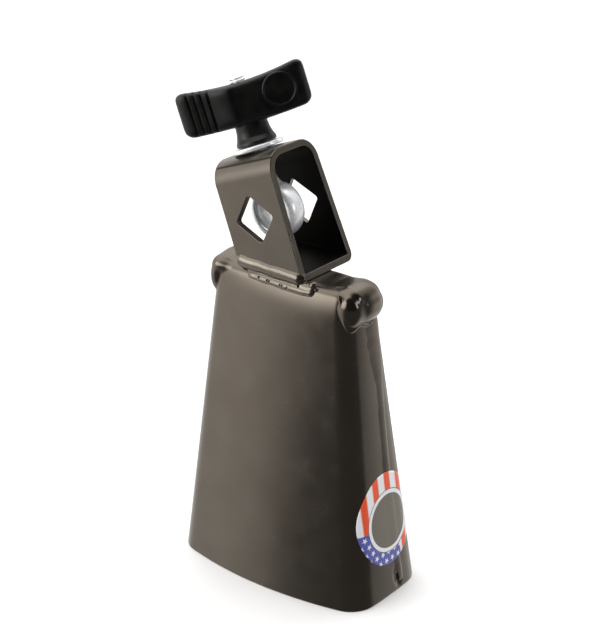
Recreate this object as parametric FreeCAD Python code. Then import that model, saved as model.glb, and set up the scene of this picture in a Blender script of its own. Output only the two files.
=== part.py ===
import FreeCAD, Part

# Cowbell with a self-aligning eye-bolt clamp, one named solid group per physical piece.
# Units are millimetres. +Z is up, +X runs along the wide faces, -Y is the front face.
# The origin is the centre of the open mouth, on the plane the rim stands on.

import math
import os

# ---- bell -----------------------------------------------------------------
BELL_HEIGHT = 127.0          # 5 inch bell
SHEET = 1.5                  # steel sheet thickness
MOUTH_WIDTH = 94.2
MOUTH_DEPTH = 53.4
MOUTH_CORNER = 11.6
MOUTH_CROWN = 6.9            # bulge of a wide face at the mouth
TOP_WIDTH = 64.5
TOP_DEPTH = 23.4
TOP_CORNER = 6.0
TOP_CROWN = 1.9
SIDE_CROWN = 0.4             # bulge of a narrow face
TOP_FOLD_RADIUS = 3.2        # outer radius where the sheet turns over the top

# ---- side seams and corner folds --------------------------------------------
SEAM_RADIUS = 1.5
SEAM_PROUD = 0.6
SEAM_LOW = (7.4, 3.2, 0.0)       # y, z and fall below the face's middle, lower end
SEAM_HIGH = (8.0, 110.0, 0.5)    # the same at the upper end, near the rear corner
FOLD_DOME = ((3.6, 120.0), (6.0, 9.0, 8.0))      # y, z of centre; half sizes
FOLD_THUMB = ((-7.0, 119.8), (5.0, 4.6, 7.8))
FOLD_SUNK = 1.6              # both lobes are centred this far inside the narrow face
LEFT_FOLD_SCALE = 0.72       # the left-hand fold is pressed flatter

# ---- mounting bracket ----------------------------------------------------------
LEAN = 19.9                  # lean of the bracket towards -X, degrees
BRACKET_X = -3.6             # foot of the bracket's axis on the bell top
BRACKET_Y = -9.9             # outer face of the front plate
STRAP = 2.7
STRAP_WIDTH = 29.6
CROWN_DEPTH = 27.8           # outside depth at the crown
FOOT_DEPTH = 31.4            # outside depth at the foot
CROWN_HEIGHT = 45.6          # along the bracket's axis
BEND_RADIUS = 8.6
FOOT_BEND = 4.0
ROD_WINDOW = 13.4            # side of the square window, turned 45 degrees
WINDOW_CORNER = 1.2
WINDOW_HEIGHT = 21.6         # along the bracket's axis
CROWN_HOLE = 4.3             # radius

# ---- welds along the bracket's foot ------------------------------------------------
# each bead: start and end measured from the strap's edges, y from the front plate's face,
# height of start and end, radius
FRONT_BEADS = (
    (1.5, -0.5, 0.2, 127.4, 127.0, 2.4),
    (9.0, 3.5, -1.2, 125.0, 124.2, 2.0),
)
FRONT_DRIP = (2.0, 0.4, 126.6, 1.9)     # bead end: from the strap's edge, y, height, radius
REAR_BEAD = (3.0, -1.6, 21.1, 126.0, 126.0, 2.3)

# ---- clamp hardware ---------------------------------------------------------------
SHANK_RADIUS = 3.175         # 1/4-20 thread
SHANK_TOP = 75.0             # along the bracket's axis
SHANK_CHAMFER = 0.7
EYE_BORE = 6.6               # radius, takes a 1/2 inch rod
EYE_RADIUS = 10.9
EYE_THICKNESS = 8.6
EYE_ROUNDING = 2.4           # the eye is forged, with well rounded rims
EYE_HEIGHT = WINDOW_HEIGHT + 0.2
WASHER_RADIUS = 9.9
WASHER_BORE = 3.6
WASHER_THICKNESS = 1.6
WASHER_ROUNDING = 0.35
CLAMP_LEAN = 1.3             # further lean of the bolt about the eye's centre, degrees
WASHER_GAP = 0.65            # drawn gap between crown and washer
NUT_GAP = 0.3                # drawn gap between washer and wing nut
RUNNING_GAP = 0.05           # radial clearance of the thread in the insert

# ---- wing nut ------------------------------------------------------------------------
WING_TURN = 35.0             # turn of the wings about the bolt, degrees
HUB_BASE = 7.9               # radii of the hub
HUB_WAIST = 6.7
HUB_TOP = 7.6
FLUTES = 6                   # round the hub, under the wings
FLUTE_RADIUS = 1.3
FLUTE_HEIGHT = 7.5
INSERT_RADIUS = 4.9
INSERT_LENGTH = 11.0
WING_SPAN = 51.0
WING_LOW = (57.2, 56.0)      # lower edge height at the tips and at the middle
WING_HIGH = (75.0, 72.3)     # upper edge height at the tips and at the middle
WING_CORNER = 3.4            # rounding of the wings' outline
WING_PLAN = ((-30, 2.9), (-3.5, 4.6), (30, 3.3))     # place along the wings, half thickness
WING_EDGE = 1.9              # rounding of the wing's edges
GRIP_GROOVES = (-19.6, -16.0, -12.4)
GROOVE_RADIUS = 0.75
BADGE = (14.8, 65.4, 6.4)    # place along the wing, height, radius
BADGE_WALL = 0.9
BADGE_PROUD = 0.5

# ---- round label -------------------------------------------------------------------------
LABEL_THICKNESS = 0.3
LABEL_HALF = (18.4, 16.6)    # half height, and half width seen along X once it is wrapped
LABEL_AT = (1.4, 31.6)       # y, z of its centre on the right-hand narrow face

V = FreeCAD.Vector
X_AXIS = V(1, 0, 0)
Y_AXIS = V(0, 1, 0)
Z_AXIS = V(0, 0, 1)
CROWN_CENTRE_Y = CROWN_DEPTH / 2


# ---- helpers ------------------------------------------------------------------------------
def blend(low, high, z):
    """A bell dimension at height z."""
    return low + (high - low) * z / BELL_HEIGHT


def arc(centre, radius, start, end, z):
    """Arc of a horizontal section, angles in radians."""
    points = []
    for angle in (start, (start + end) / 2, end):
        points.append(V(centre[0] + radius * math.cos(angle), centre[1] + radius * math.sin(angle), z))
    return Part.Arc(*points).toShape()


def bell_section(z, inset):
    """Closed section of the bell: four shallow face arcs joined by four corner arcs."""
    half_width = blend(MOUTH_WIDTH, TOP_WIDTH, z) / 2
    half_depth = blend(MOUTH_DEPTH, TOP_DEPTH, z) / 2
    corner = blend(MOUTH_CORNER, TOP_CORNER, z)
    crown = blend(MOUTH_CROWN, TOP_CROWN, z)
    face = (half_width ** 2 + crown ** 2) / (2 * crown)
    side = (half_depth ** 2 + SIDE_CROWN ** 2) / (2 * SIDE_CROWN)
    face_y = half_depth - face
    side_x = half_width - side
    # centre of the corner arc, which touches both face arcs from inside
    reach_face = face - corner
    reach_side = side - corner
    span = math.hypot(side_x, face_y)
    along = (reach_face ** 2 - reach_side ** 2 + span ** 2) / (2 * span)
    across = math.sqrt(reach_face ** 2 - along ** 2)
    ux, uy = side_x / span, -face_y / span
    cx = along * ux - across * uy
    cy = face_y + along * uy + across * ux
    if cx < 0 or cy < 0:
        cx = along * ux + across * uy
        cy = face_y + along * uy - across * ux
    turn_face = math.atan2(cy - face_y, cx)
    turn_side = math.atan2(cy, cx - side_x)
    quarter = math.pi / 2
    face, side, corner = face - inset, side - inset, corner - inset
    edges = [
        arc((side_x, 0), side, -turn_side, turn_side, z),
        arc((cx, cy), corner, turn_side, turn_face, z),
        arc((0, face_y), face, turn_face, 2 * quarter - turn_face, z),
        arc((-cx, cy), corner, 2 * quarter - turn_face, 2 * quarter - turn_side, z),
        arc((-side_x, 0), side, 2 * quarter - turn_side, 2 * quarter + turn_side, z),
        arc((-cx, -cy), corner, 2 * quarter + turn_side, 2 * quarter + turn_face, z),
        arc((0, -face_y), face, 2 * quarter + turn_face, 4 * quarter - turn_face, z),
        arc((cx, -cy), corner, -turn_face, -turn_side, z),
    ]
    return Part.Wire(edges)


def bell_body(inset, low, high):
    return Part.makeLoft([bell_section(low, inset), bell_section(high, inset)], True, True)


def round_top(body, z, radius):
    """Round the edges that lie in the plane at height z."""
    edges = []
    for edge in body.Edges:
        box = edge.BoundBox
        if abs(box.ZMin - z) < 1e-4 and abs(box.ZMax - z) < 1e-4:
            edges.append(edge)
    return body.makeFillet(radius, edges)


def side_x(z):
    """Half width of the bell at height z."""
    return blend(MOUTH_WIDTH, TOP_WIDTH, z) / 2


def mirror_x(shape):
    return shape.mirror(V(0, 0, 0), X_AXIS)


def rod(start, end, radius):
    """Cylinder with ball ends."""
    axis = end - start
    body = Part.makeCylinder(radius, axis.Length, start, axis)
    for point in (start, end):
        body = body.fuse(Part.makeSphere(radius, point))
    return body


def ellipsoid(centre, half_sizes):
    ball = Part.makeSphere(1.0)
    matrix = FreeCAD.Matrix()
    matrix.scale(*half_sizes)
    ball = ball.transformGeometry(matrix)
    ball.translate(centre)
    return ball


def to_bell(shape):
    """Carry a shape from the bracket's own frame to the bell's frame."""
    placed = shape.copy()
    placed.rotate(V(0, 0, 0), Y_AXIS, -LEAN)
    placed.translate(V(BRACKET_X, BRACKET_Y, BELL_HEIGHT))
    return placed


def slab(low, high):
    """Large horizontal block between two heights, in the bell's frame."""
    return Part.makeBox(300, 300, high - low, V(-150, -150, low))


def lathe(profile, centre):
    """Turn an (r, z) outline about the bolt's axis."""
    points = [V(centre[0] + r, centre[1], z) for r, z in profile]
    face = Part.Face(Part.makePolygon(points + [points[0]]))
    return face.revolve(V(centre[0], centre[1], 0), Z_AXIS, 360)


def biggest(shape):
    """The main solid of a cut, without the slivers that the cut leaves elsewhere."""
    return max(shape.Solids, key=lambda solid: solid.Volume)


def save(node, shape):
    solid = biggest(shape)
    if not solid.isValid():
        raise RuntimeError(node + " is not a valid solid")
    solid.exportStep("parts/" + node + ".step")


# ---- bell pieces -----------------------------------------------------------------------------
def make_bell_envelope():
    return round_top(bell_body(0, 0, BELL_HEIGHT), BELL_HEIGHT, TOP_FOLD_RADIUS)


def make_bell_shell(envelope):
    ceiling = BELL_HEIGHT - SHEET
    hollow = round_top(bell_body(SHEET, -5, ceiling), ceiling, TOP_FOLD_RADIUS - SHEET)
    return envelope.cut(hollow)


def seam_rod(radius):
    """Round bar along the right-hand seam, mostly sunk in the narrow face."""
    ends = []
    for y, z, fall in (SEAM_LOW, SEAM_HIGH):
        ends.append(V(side_x(z) - fall - SEAM_RADIUS + SEAM_PROUD, y, z))
    return rod(ends[0], ends[1], radius)


def make_side_seam(envelope):
    """Weld bead down the right-hand narrow face."""
    return biggest(seam_rod(SEAM_RADIUS).cut(envelope))


def make_corner_fold(envelope, thickness_scale):
    """Folded and brazed right-hand corner: a rear dome and a front thumb that run together."""
    lobes = []
    for (y, z), (thick, deep, tall) in (FOLD_DOME, FOLD_THUMB):
        centre = V(side_x(z) - FOLD_SUNK, y, z)
        lobes.append(ellipsoid(centre, (thick * thickness_scale, deep, tall)))
    return biggest(lobes[0].fuse(lobes[1]).cut(envelope))


def make_label():
    """Round label that wraps over both corners of the narrow face and over the seam."""
    y, z = LABEL_AT
    outline = Part.Ellipse(V(0, 0, 0), *LABEL_HALF).toShape()
    outline.rotate(V(0, 0, 0), Y_AXIS, 90)
    outline.translate(V(10, y, z))
    punch = Part.Face(Part.Wire(outline)).extrude(V(60, 0, 0))
    over = bell_body(-LABEL_THICKNESS, 0, BELL_HEIGHT).fuse(seam_rod(SEAM_RADIUS + LABEL_THICKNESS))
    under = bell_body(0, -1, BELL_HEIGHT).fuse(seam_rod(SEAM_RADIUS))
    return biggest(over.common(punch).cut(under))


# ---- bracket, drawn in its own frame: x across, y deep, z along the axis ----------------------
def bracket_outline(inset, low):
    """Side outline of the strap: front plate, crown and splayed rear plate."""
    splay = (FOOT_DEPTH - CROWN_DEPTH) / CROWN_HEIGHT
    tilt = math.atan(splay)
    step = inset / math.cos(tilt)
    top = CROWN_HEIGHT - inset
    radius = BEND_RADIUS - inset
    rear_top = CROWN_DEPTH + splay * inset - step
    rear_low = CROWN_DEPTH + splay * (CROWN_HEIGHT - low) - step
    reach = radius * math.tan((math.pi / 2 - tilt) / 2)
    rear_arc = V(0, rear_top - reach, top - radius)
    a = V(0, inset, low)
    b = V(0, inset, top - radius)
    c = V(0, inset + radius * (1 - math.sqrt(0.5)), top - radius * (1 - math.sqrt(0.5)))
    d = V(0, inset + radius, top)
    e = V(0, rear_arc.y, top)
    end = V(0, rear_arc.y + radius * math.cos(tilt), rear_arc.z + radius * math.sin(tilt))
    half = (math.pi / 2 + tilt) / 2
    f = V(0, rear_arc.y + radius * math.cos(half), rear_arc.z + radius * math.sin(half))
    g = V(0, rear_low, low)
    edges = [
        Part.makeLine(a, b),
        Part.Arc(b, c, d).toShape(),
        Part.makeLine(d, e),
        Part.Arc(e, f, end).toShape(),
        Part.makeLine(end, g),
        Part.makeLine(g, a),
    ]
    return Part.Face(Part.Wire(edges))


def bracket_prism(inset, low, width):
    outline = bracket_outline(inset, low)
    outline.translate(V(-width / 2, 0, 0))
    return outline.extrude(V(width, 0, 0))


def rod_window():
    """Square window turned 45 degrees, cut along the depth of the bracket."""
    half = ROD_WINDOW / 2
    block = Part.makeBox(ROD_WINDOW, 60, ROD_WINDOW, V(-half, -10, -half))
    corners = [edge for edge in block.Edges if abs(edge.Length - 60) < 1e-6]
    block = block.makeFillet(WINDOW_CORNER, corners)
    block.rotate(V(0, 0, 0), Y_AXIS, 45)
    block.translate(V(0, 0, WINDOW_HEIGHT))
    return block


def make_bracket():
    below = slab(BELL_HEIGHT - 60, BELL_HEIGHT)
    floor = slab(BELL_HEIGHT - 60, BELL_HEIGHT + STRAP)
    outer = to_bell(bracket_prism(0, -20, STRAP_WIDTH)).cut(below)
    foot = []
    rear = BRACKET_Y + FOOT_DEPTH - 3
    for edge in outer.Edges:
        box = edge.BoundBox
        if box.ZMax < BELL_HEIGHT + 0.01 and box.YMin > rear and box.XLength > 5:
            foot.append(edge)
    outer = outer.makeFillet(FOOT_BEND, foot)
    inner = to_bell(bracket_prism(STRAP, -20, STRAP_WIDTH + 60)).cut(floor)
    strap = outer.cut(inner)
    strap = strap.cut(to_bell(rod_window()))
    hole = Part.makeCylinder(CROWN_HOLE, 20, V(0, CROWN_CENTRE_Y, CROWN_HEIGHT - 10))
    return biggest(strap.cut(to_bell(hole)))


def foot_bead(bead):
    """One straight weld bead along the foot of the bracket."""
    start, end, y, start_z, end_z, radius = bead
    half = STRAP_WIDTH / 2 / math.cos(math.radians(LEAN))
    first = V(BRACKET_X - half + start, BRACKET_Y + y, start_z)
    last = V(BRACKET_X + half + end, BRACKET_Y + y, end_z)
    return rod(first, last, radius)


def make_foot_welds(envelope, bracket):
    """Fillet welds along the front and the rear of the bracket's foot."""
    half = STRAP_WIDTH / 2 / math.cos(math.radians(LEAN))
    past, y, z, radius = FRONT_DRIP
    front = Part.makeSphere(radius, V(BRACKET_X + half + past, BRACKET_Y + y, z))
    for bead in FRONT_BEADS:
        front = front.fuse(foot_bead(bead))
    welds = []
    for weld in (front, foot_bead(REAR_BEAD)):
        welds.append(biggest(weld.cut(envelope).cut(bracket)))
    return welds


# ---- clamp hardware, drawn upright in the bracket's frame ----------------------------------------
def make_eye_bolt():
    half = EYE_THICKNESS / 2
    eye = Part.makeCylinder(EYE_RADIUS, EYE_THICKNESS, V(0, CROWN_CENTRE_Y - half, EYE_HEIGHT), Y_AXIS)
    eye = eye.makeFillet(EYE_ROUNDING, [edge for edge in eye.Edges if len(edge.Vertexes) == 1])
    shank = Part.makeCylinder(SHANK_RADIUS, SHANK_TOP - EYE_HEIGHT, V(0, CROWN_CENTRE_Y, EYE_HEIGHT))
    tip = [edge for edge in shank.Edges if edge.BoundBox.ZMin > SHANK_TOP - 0.01]
    shank = shank.makeChamfer(SHANK_CHAMFER, tip)
    bolt = eye.fuse(shank)
    bore = Part.makeCylinder(EYE_BORE, 40, V(0, -5, EYE_HEIGHT), Y_AXIS)
    return biggest(bolt.cut(bore))


def make_washer(low):
    ring = Part.makeCylinder(WASHER_RADIUS, WASHER_THICKNESS, V(0, CROWN_CENTRE_Y, low))
    rims = [edge for edge in ring.Edges if len(edge.Vertexes) == 1]
    ring = ring.makeFillet(WASHER_ROUNDING, rims)
    return ring.cut(Part.makeCylinder(WASHER_BORE, 10, V(0, CROWN_CENTRE_Y, low - 4)))


def wing_outline():
    """Front outline of the wings: bowed top and bottom edges, rounded tips."""
    half = WING_SPAN / 2
    tip_low, mid_low = WING_LOW
    tip_high, mid_high = WING_HIGH
    lean = 0.8
    low_left = V(-half + lean, 0, tip_low)
    low_right = V(half - lean, 0, tip_low)
    high_left = V(-half, 0, tip_high)
    high_right = V(half, 0, tip_high)
    edges = [
        Part.Arc(low_left, V(0, 0, mid_low), low_right).toShape(),
        Part.makeLine(low_right, high_right),
        Part.Arc(high_right, V(0, 0, mid_high), high_left).toShape(),
        Part.makeLine(high_left, low_left),
    ]
    face = Part.Face(Part.Wire(edges))
    face.translate(V(0, -10, 0))
    prism = face.extrude(V(0, 20, 0))
    corners = [edge for edge in prism.Edges if abs(edge.Length - 20) < 1e-4]
    return prism.makeFillet(WING_CORNER, corners)


def wing_face(place):
    """Distance of the wing's face from its middle plane at a place along the wings."""
    left, middle, right = WING_PLAN
    low, high = (left, middle) if place < middle[0] else (middle, right)
    share = (place - low[0]) / (high[0] - low[0])
    return low[1] + (high[1] - low[1]) * share


def wing_plan():
    """Plan of the wings: thickest beside the bolt, the same when turned half round."""
    corners = [V(place, -thick, 50) for place, thick in WING_PLAN]
    corners += [V(-place, thick, 50) for place, thick in WING_PLAN]
    face = Part.Face(Part.makePolygon(corners + [corners[0]]))
    return face.extrude(V(0, 0, 30))


def make_wing_nut(low):
    """Moulded grip: fluted hub, two wings, three grip grooves and a plain round badge ring."""
    wings = wing_outline().common(wing_plan())
    wings = wings.makeFillet(WING_EDGE, wings.Edges)
    top = WING_HIGH[1]
    hub = lathe([(0, low), (HUB_BASE, low), (HUB_BASE, low + 1.2), (HUB_WAIST, low + 4.5),
                 (HUB_WAIST, low + 7.0), (HUB_TOP, low + 11.0), (HUB_TOP, top - 1.0),
                 (HUB_TOP - 1.0, top), (0, top)], (0, 0))
    for index in range(FLUTES):
        angle = 2 * math.pi * (index + 0.5) / FLUTES
        centre = V((HUB_WAIST + 1) * math.cos(angle), (HUB_WAIST + 1) * math.sin(angle), low + 1.6)
        hub = hub.cut(Part.makeCylinder(FLUTE_RADIUS, FLUTE_HEIGHT, centre))
    grip = wings.fuse(hub)
    for side in (-1, 1):
        for place in GRIP_GROOVES:
            start = V(-side * place, side * wing_face(place), 50)
            grip = grip.cut(Part.makeCylinder(GROOVE_RADIUS, 30, start))
    place, height, radius = BADGE
    for side in (-1, 1):
        centre = V(-side * place, side * (wing_face(place) - 0.3), height)
        disc = Part.makeCylinder(radius, 0.3 + BADGE_PROUD, centre, V(0, side, 0))
        middle = Part.makeCylinder(radius - BADGE_WALL, 2.0, centre, V(0, side, 0))
        grip = grip.fuse(disc.cut(middle))
    socket = Part.makeCylinder(INSERT_RADIUS, INSERT_LENGTH, V(0, 0, low))
    through = Part.makeCylinder(SHANK_RADIUS + 0.4, 40, V(0, 0, low))
    return biggest(grip.cut(socket).cut(through))


def make_insert(low):
    """Threaded metal insert moulded into the hub."""
    body = Part.makeCylinder(INSERT_RADIUS, INSERT_LENGTH, V(0, 0, low))
    return body.cut(Part.makeCylinder(SHANK_RADIUS + RUNNING_GAP, 40, V(0, 0, low - 5)))


def on_clamp(shape):
    """Lean a clamp piece with the bolt, about the centre of the eye."""
    placed = shape.copy()
    placed.rotate(V(0, CROWN_CENTRE_Y, EYE_HEIGHT), Y_AXIS, -CLAMP_LEAN)
    return to_bell(placed)


def on_bolt(shape):
    """Turn a piece of the wing nut to its resting angle and put it on the bolt's axis."""
    placed = shape.copy()
    placed.rotate(V(0, 0, 0), Z_AXIS, WING_TURN)
    placed.translate(V(0, CROWN_CENTRE_Y, 0))
    return on_clamp(placed)


os.makedirs("parts", exist_ok=True)

bell_envelope = make_bell_envelope()
mount_bracket = make_bracket()
front_weld, rear_weld = make_foot_welds(bell_envelope, mount_bracket)
side_seam = make_side_seam(bell_envelope)
washer_low = CROWN_HEIGHT + WASHER_GAP
nut_low = washer_low + WASHER_THICKNESS + NUT_GAP

pieces = {
    "bell_shell": make_bell_shell(bell_envelope),
    "side_seam_right": side_seam,
    "side_seam_left": mirror_x(side_seam),
    "corner_fold_right": make_corner_fold(bell_envelope, 1.0),
    "corner_fold_left": mirror_x(make_corner_fold(bell_envelope, LEFT_FOLD_SCALE)),
    "mount_bracket": mount_bracket,
    "foot_weld_front": front_weld,
    "foot_weld_rear": rear_weld,
    "eye_bolt": on_clamp(make_eye_bolt()),
    "flat_washer": on_clamp(make_washer(washer_low)),
    "wing_nut_grip": on_bolt(make_wing_nut(nut_low)),
    "wing_nut_insert": on_bolt(make_insert(nut_low)),
    "round_label": make_label(),
}

for node_name, node_shape in pieces.items():
    save(node_name, node_shape)
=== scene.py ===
"""Looks of a cowbell with its strap bracket, eye bolt and wing nut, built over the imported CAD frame.

Everything is drawn in millimetres in the frame of the CAD model and scaled to metres on the way in.
"""

import math

import bmesh
import bpy
import numpy as np
from mathutils import Matrix, Vector


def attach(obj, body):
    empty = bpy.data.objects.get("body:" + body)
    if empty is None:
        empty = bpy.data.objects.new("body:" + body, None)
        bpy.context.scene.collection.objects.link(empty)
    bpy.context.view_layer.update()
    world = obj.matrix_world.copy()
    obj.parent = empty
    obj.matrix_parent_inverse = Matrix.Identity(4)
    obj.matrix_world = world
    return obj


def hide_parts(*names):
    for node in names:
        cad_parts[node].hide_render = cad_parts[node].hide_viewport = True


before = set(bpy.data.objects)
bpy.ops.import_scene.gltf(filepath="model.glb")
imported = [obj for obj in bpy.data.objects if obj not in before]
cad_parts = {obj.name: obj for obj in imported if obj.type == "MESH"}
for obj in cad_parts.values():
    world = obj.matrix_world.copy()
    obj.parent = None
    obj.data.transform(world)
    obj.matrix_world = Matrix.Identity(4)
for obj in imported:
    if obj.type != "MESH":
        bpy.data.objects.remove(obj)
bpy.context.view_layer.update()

MM = 0.001

# ---- sizes, as in the CAD model ----
HEIGHT = 127.0
SHEET = 1.5
MOUTH = (94.2, 53.4, 11.6, 6.9)      # width, depth, corner radius, crown of a wide face
TOP = (64.5, 23.4, 6.0, 1.9)
TOP_FOLD = 3.2

LEAN = 19.9
CLAMP_LEAN = 1.3
BRACKET_FOOT = (-3.6, -9.9, HEIGHT)
STRAP = 2.7
STRAP_WIDTH = 29.6
CROWN_DEPTH = 27.8
FOOT_DEPTH = 31.4
CROWN_HEIGHT = 45.6
BEND = 8.6
WINDOW = 13.4
WINDOW_HEIGHT = 21.6
CROWN_HOLE = 4.3

SHANK = 3.175
PITCH = 1.27
EYE_BORE = 6.6
EYE_RADIUS = 10.9
EYE_THICKNESS = 8.6
EYE_HEIGHT = WINDOW_HEIGHT + 0.2
WASHER = 1.6
WASHER_LOW = CROWN_HEIGHT + 0.65
NUT_LOW = WASHER_LOW + WASHER + 0.3
WING_TURN = 35.0

# ---- finer detail, which the CAD model leaves out or draws a little differently ----
SIDE_CROWN = 1.6
TUCK_FROM, TUCK_REACH, TUCK = 109.0, 15.0, 1.0     # the wide faces draw in below the top fold
RIM = 0.4                # rounding of the mouth's edge
WAVE = 0.16              # depth of the waves in the sheet
BURNT_DEPTH = 1.35       # hollow burnt into the sheet at the foot of the right-hand seam
SEAM_ENDS = (3.0, 113.5)
LABEL_AT = (1.8, 32.2)
LABEL_HALF = (17.0, 19.0)
LABEL_LIFT = 0.22
SHANK_TOP = 74.6
WING_SPAN, WING_LOW, WING_HIGH = 50.7, 57.2, 74.95
GRIP_GROOVES, GROOVE_DEPTH = (-20.4, -17.7, -15.0, -12.3), 0.75
BADGE_AT, BADGE_RADIUS, BADGE_HEIGHT = (14.8, 65.4), 6.1, 0.30


# ---- small numeric helpers ----
def smoothstep(low, high, value):
    t = np.clip((value - low) / (high - low), 0.0, 1.0)
    return t * t * (3 - 2 * t)


def smooth_min(a, b, k):
    """Union of two distance fields with a fillet about k wide."""
    h = np.clip(0.5 + 0.5 * (b - a) / k, 0.0, 1.0)
    return b + (a - b) * h - k * h * (1 - h)


def ripple(points, scale, seed, octaves=2):
    """Smooth repeatable noise of about -1 to 1 at each row of points, features about scale wide."""
    rng = np.random.default_rng(seed)
    total = np.zeros(len(points))
    size = 1.0
    for octave in range(octaves):
        waves = rng.normal(size=(9, 3))
        waves /= np.linalg.norm(waves, axis=1)[:, None]
        lengths = scale * rng.uniform(0.7, 1.5, 9) / 2 ** octave
        phases = rng.uniform(0, 2 * math.pi, 9)
        for wave, length, phase in zip(waves, lengths, phases):
            total += size * np.sin(points @ wave * (math.pi / length) + phase) / 4.2
        size *= 0.5
    return total


def blend(low, high, z):
    return low + (high - low) * np.clip(z, -5.0, HEIGHT + 5.0) / HEIGHT


def section_dims(z):
    """Circle centres and radii of the bell's horizontal section at height z."""
    half_width = blend(MOUTH[0], TOP[0], z) / 2
    share = np.maximum((z - TUCK_FROM) / TUCK_REACH, 0.0)
    tuck = TUCK * np.where(share < 1, share ** 3, 3 * share - 2)
    half_depth = blend(MOUTH[1], TOP[1], z) / 2 - tuck
    corner = blend(MOUTH[2], TOP[2], z)
    crown = blend(MOUTH[3], TOP[3], z)
    face = (half_width ** 2 + crown ** 2) / (2 * crown)
    side = (half_depth ** 2 + SIDE_CROWN ** 2) / (2 * SIDE_CROWN)
    face_y = half_depth - face
    side_x = half_width - side
    span = np.hypot(side_x, face_y)
    along = ((face - corner) ** 2 - (side - corner) ** 2 + span ** 2) / (2 * span)
    across = np.sqrt((face - corner) ** 2 - along ** 2)
    ux, uy = side_x / span, -face_y / span
    cx = along * ux + across * uy
    cy = face_y + along * uy - across * ux
    flip = (cx < 0) | (cy < 0)
    cx = np.where(flip, along * ux - across * uy, cx)
    cy = np.where(flip, face_y + along * uy + across * ux, cy)
    return face, side, corner, face_y, side_x, cx, cy


def section_distance(x, y, z):
    """Signed distance from the bell's section at each point's own height, negative inside."""
    face, side, corner, face_y, side_x, cx, cy = section_dims(z)
    x, y = np.abs(x), np.abs(y)
    to_face = np.arctan2(cy - face_y, cx)
    to_side = np.arctan2(cy, cx - side_x)
    angle = np.arctan2(y - cy, x - cx)
    by_corner = np.hypot(x - cx, y - cy) - corner
    by_face = np.hypot(x, y - face_y) - face
    by_side = np.hypot(x - side_x, y) - side
    return np.where((angle >= to_side) & (angle <= to_face), by_corner, np.maximum(by_face, by_side))


def bell_field(p):
    """Signed distance from the outside of the closed bell."""
    a = section_distance(p[:, 0], p[:, 1], p[:, 2]) + TOP_FOLD
    b = p[:, 2] - HEIGHT + TOP_FOLD
    corner = np.hypot(np.maximum(a, 0), np.maximum(b, 0))
    return corner + np.minimum(np.maximum(a, b), 0) - TOP_FOLD


def ellipsoid_field(p, centre, half):
    q = p - np.array(centre)
    k0 = np.linalg.norm(q / np.array(half), axis=1)
    k1 = np.linalg.norm(q / np.array(half) ** 2, axis=1)
    return k0 * (k0 - 1) / np.maximum(k1, 1e-9)


def capsule_field(p, a, b, radius):
    a, b = np.array(a, float), np.array(b, float)
    t = np.clip((p - a) @ (b - a) / ((b - a) @ (b - a)), 0, 1)
    return np.linalg.norm(p - a - t[:, None] * (b - a), axis=1) - radius


def side_surface(y, z):
    """x of the right-hand narrow face at y, z."""
    _, side, corner, _, side_x, cx, cy = section_dims(z)
    by_side = side_x + np.sqrt(np.maximum(side ** 2 - y ** 2, 0))
    lift = np.abs(y) - cy
    by_corner = cx + np.sqrt(np.maximum(corner ** 2 - np.maximum(lift, 0) ** 2, 0))
    turn = corner * np.sin(np.arctan2(cy, cx - side_x))
    return np.where(lift > turn, by_corner, by_side)


# ---- mesh helpers ----
def new_object(name, data):
    made = bpy.data.objects.new(name, data)
    bpy.context.scene.collection.objects.link(made)
    return made


def add_piece(name, mesh, body, nodes, material):
    """Put a mesh drawn in millimetres into the scene as a piece in place of nodes of the CAD model."""
    mesh.transform(Matrix.Scale(MM, 4))
    mesh.name = name
    piece = new_object(name, mesh)
    mesh.materials.clear()
    mesh.materials.append(material)
    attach(piece, body)
    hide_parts(*nodes)


def mesh_of(verts, faces, smooth=True):
    mesh = bpy.data.meshes.new("part")
    points = [tuple(v) for v in np.asarray(verts, float)]
    mesh.from_pydata(points, [], faces, shade_flat=not smooth)
    mesh.validate()
    return mesh


def read_vectors(items, name):
    """One row of x, y, z for each item, a vertex or a normal."""
    out = np.zeros(len(items) * 3)
    items.foreach_get(name, out)
    return out.reshape(-1, 3)


def coords(mesh):
    return read_vectors(mesh.vertices, "co")


def normals(mesh):
    return read_vectors(mesh.vertices, "normal")


def set_coords(mesh, points):
    mesh.vertices.foreach_set("co", np.asarray(points, float).ravel())
    mesh.update()


def face_out(mesh):
    work = bmesh.new()
    work.from_mesh(mesh)
    bmesh.ops.remove_doubles(work, verts=work.verts, dist=1e-4)
    bmesh.ops.recalc_face_normals(work, faces=work.faces)
    work.to_mesh(mesh)
    work.free()
    return mesh


def joined(meshes):
    """One mesh holding all of them."""
    work = bmesh.new()
    for mesh in meshes:
        work.from_mesh(mesh)
    out = bpy.data.meshes.new("joined")
    work.to_mesh(out)
    work.free()
    return out


def modified(mesh, *modifiers):
    """The mesh with modifiers applied: each is (type, {setting: value})."""
    holder = new_object("holder", mesh)
    for kind, settings in modifiers:
        modifier = holder.modifiers.new(kind, kind)
        for key, value in settings.items():
            setattr(modifier, key, value)
    bpy.context.view_layer.update()
    graph = bpy.context.evaluated_depsgraph_get()
    out = bpy.data.meshes.new_from_object(holder.evaluated_get(graph))
    bpy.data.objects.remove(holder)
    return out


def run_together(meshes, voxel, settle, factor=0.6):
    """One skin over overlapping meshes, settled smoothly where they meet."""
    remesh = {"mode": "VOXEL", "voxel_size": voxel, "use_smooth_shade": True}
    smooth = {"factor": factor, "iterations": settle}
    return modified(joined(meshes), ("REMESH", remesh), ("SMOOTH", smooth))


def cut(mesh, tool):
    """The mesh without what the tool covers."""
    other = new_object("tool", tool)
    out = modified(mesh, ("BOOLEAN", {"object": other, "operation": "DIFFERENCE", "solver": "EXACT"}))
    bpy.data.objects.remove(other)
    return out


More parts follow.
